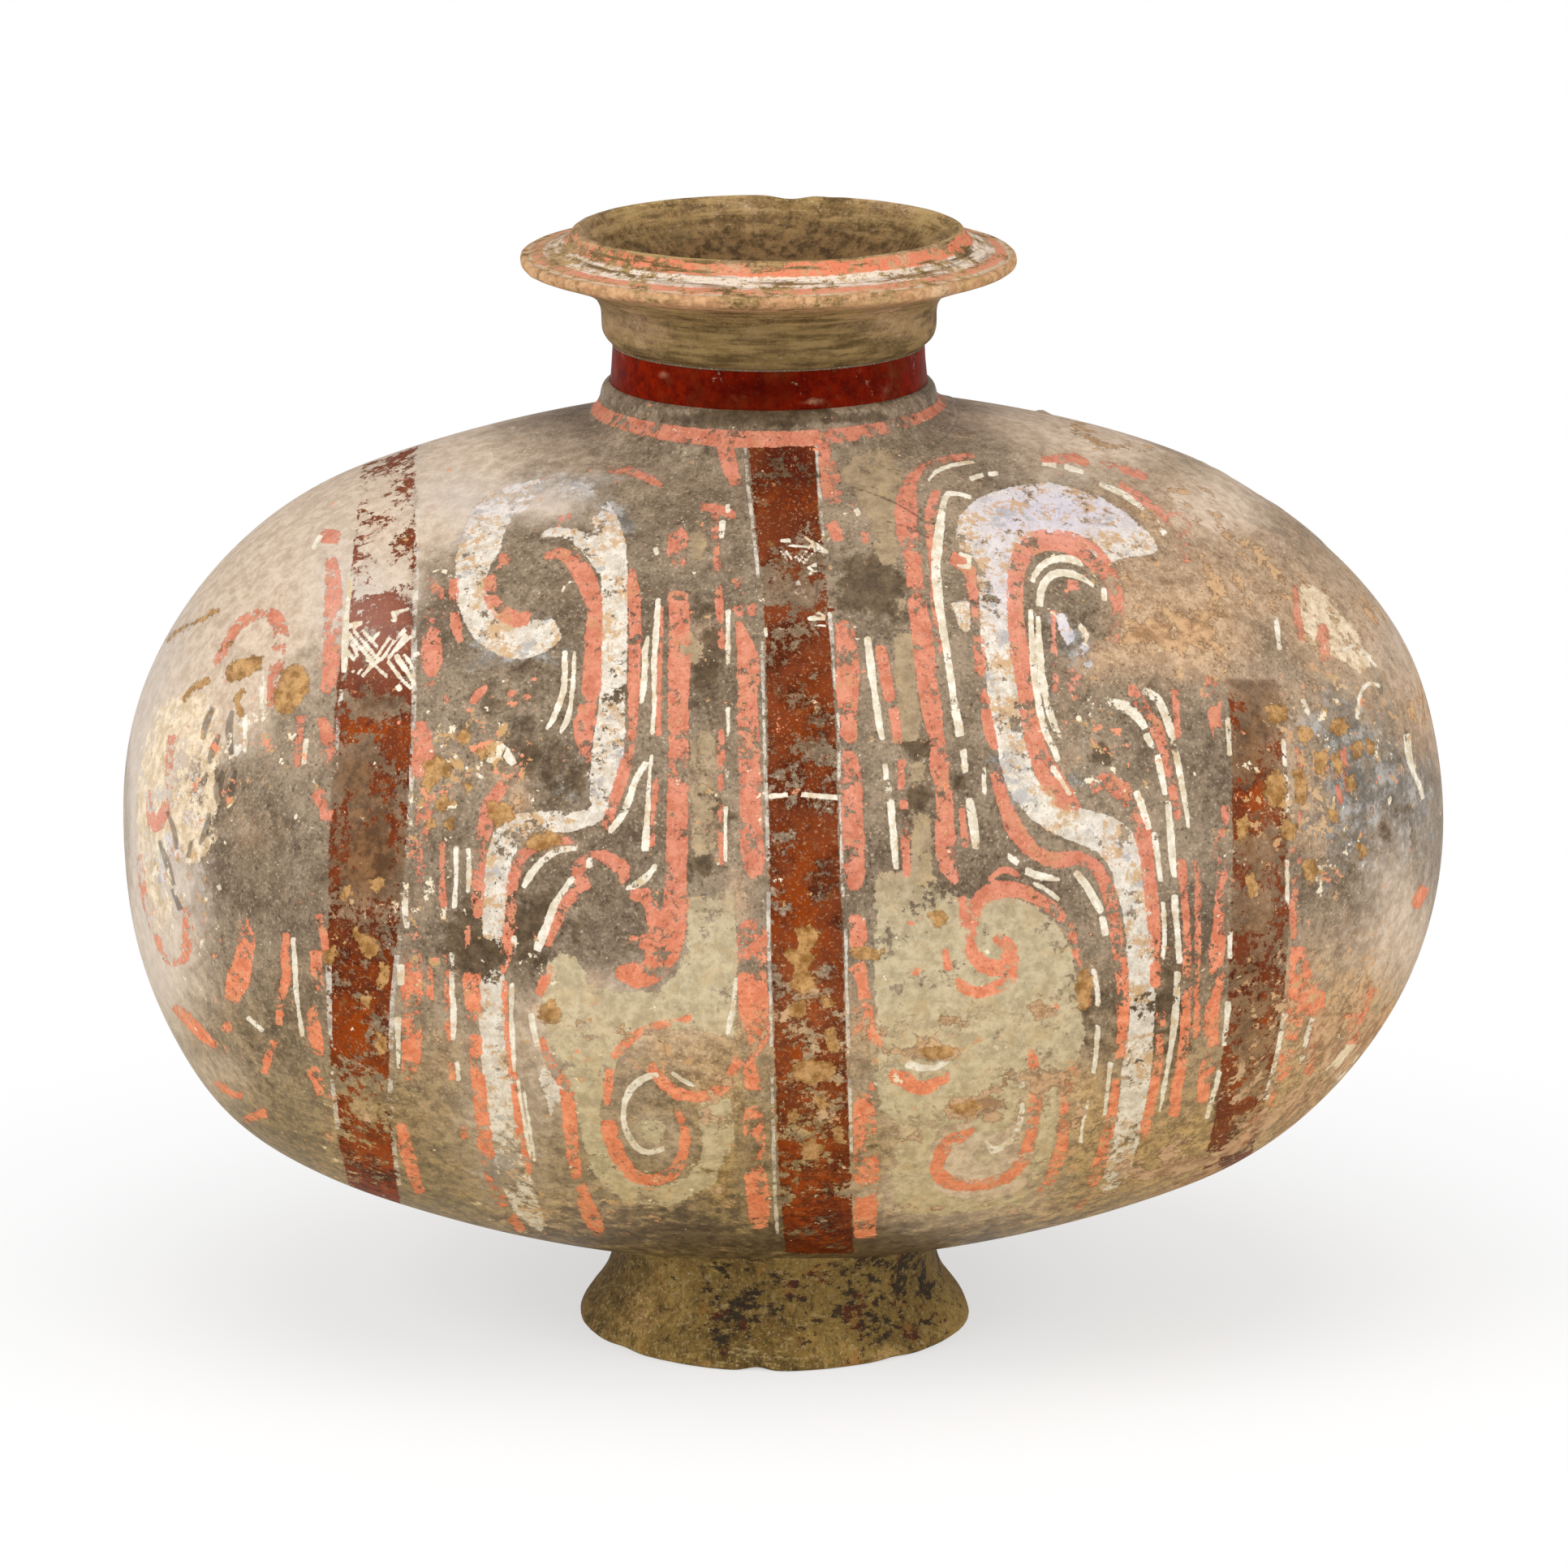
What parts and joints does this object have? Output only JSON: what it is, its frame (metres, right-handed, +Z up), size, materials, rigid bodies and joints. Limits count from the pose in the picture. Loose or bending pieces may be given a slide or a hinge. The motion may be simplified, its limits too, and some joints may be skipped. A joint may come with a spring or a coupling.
{
  "type": "cocoon jar",
  "caption": "Cocoon-shaped earthenware jar lying on its side on a flared ring foot, with an upright neck and a dished flanged mouth, painted with bands and cloud scrolls, for storing liquid.",
  "frame": {"origin": "on the resting plane, under the middle of the cocoon body", "axes": "+X along the cocoon towards the picture's right, -Y towards the viewer, +Z up through the neck"},
  "size_m": [0.34, 0.2246, 0.287],
  "materials": {
    "painted_clay": "burnished grey earthenware with worn cold painting",
    "red_neck": "grey earthenware with a deep red painted band",
    "coral_coil": "grey earthenware with a coral painted ring",
    "soiled_rim": "grey earthenware with painted rings and soil",
    "bare_foot": "bare earthenware, dirty",
    "slip": "fired slip, matt",
    "bare_clay": "bare grey earthenware"
  },
  "bodies": {
    "root": {"left_body_half": "painted_clay", "right_body_half": "painted_clay", "body_seam_slip": "slip", "body_seam_coil": "bare_clay", "neck_collar": "red_neck", "neck_seam_slip": "slip", "neck_joint_coil": "coral_coil", "mouth_rim": "soiled_rim", "mouth_seam_slip": "slip", "foot_ring": "bare_foot", "foot_seam_slip": "slip"}
  },
  "joints": []
}
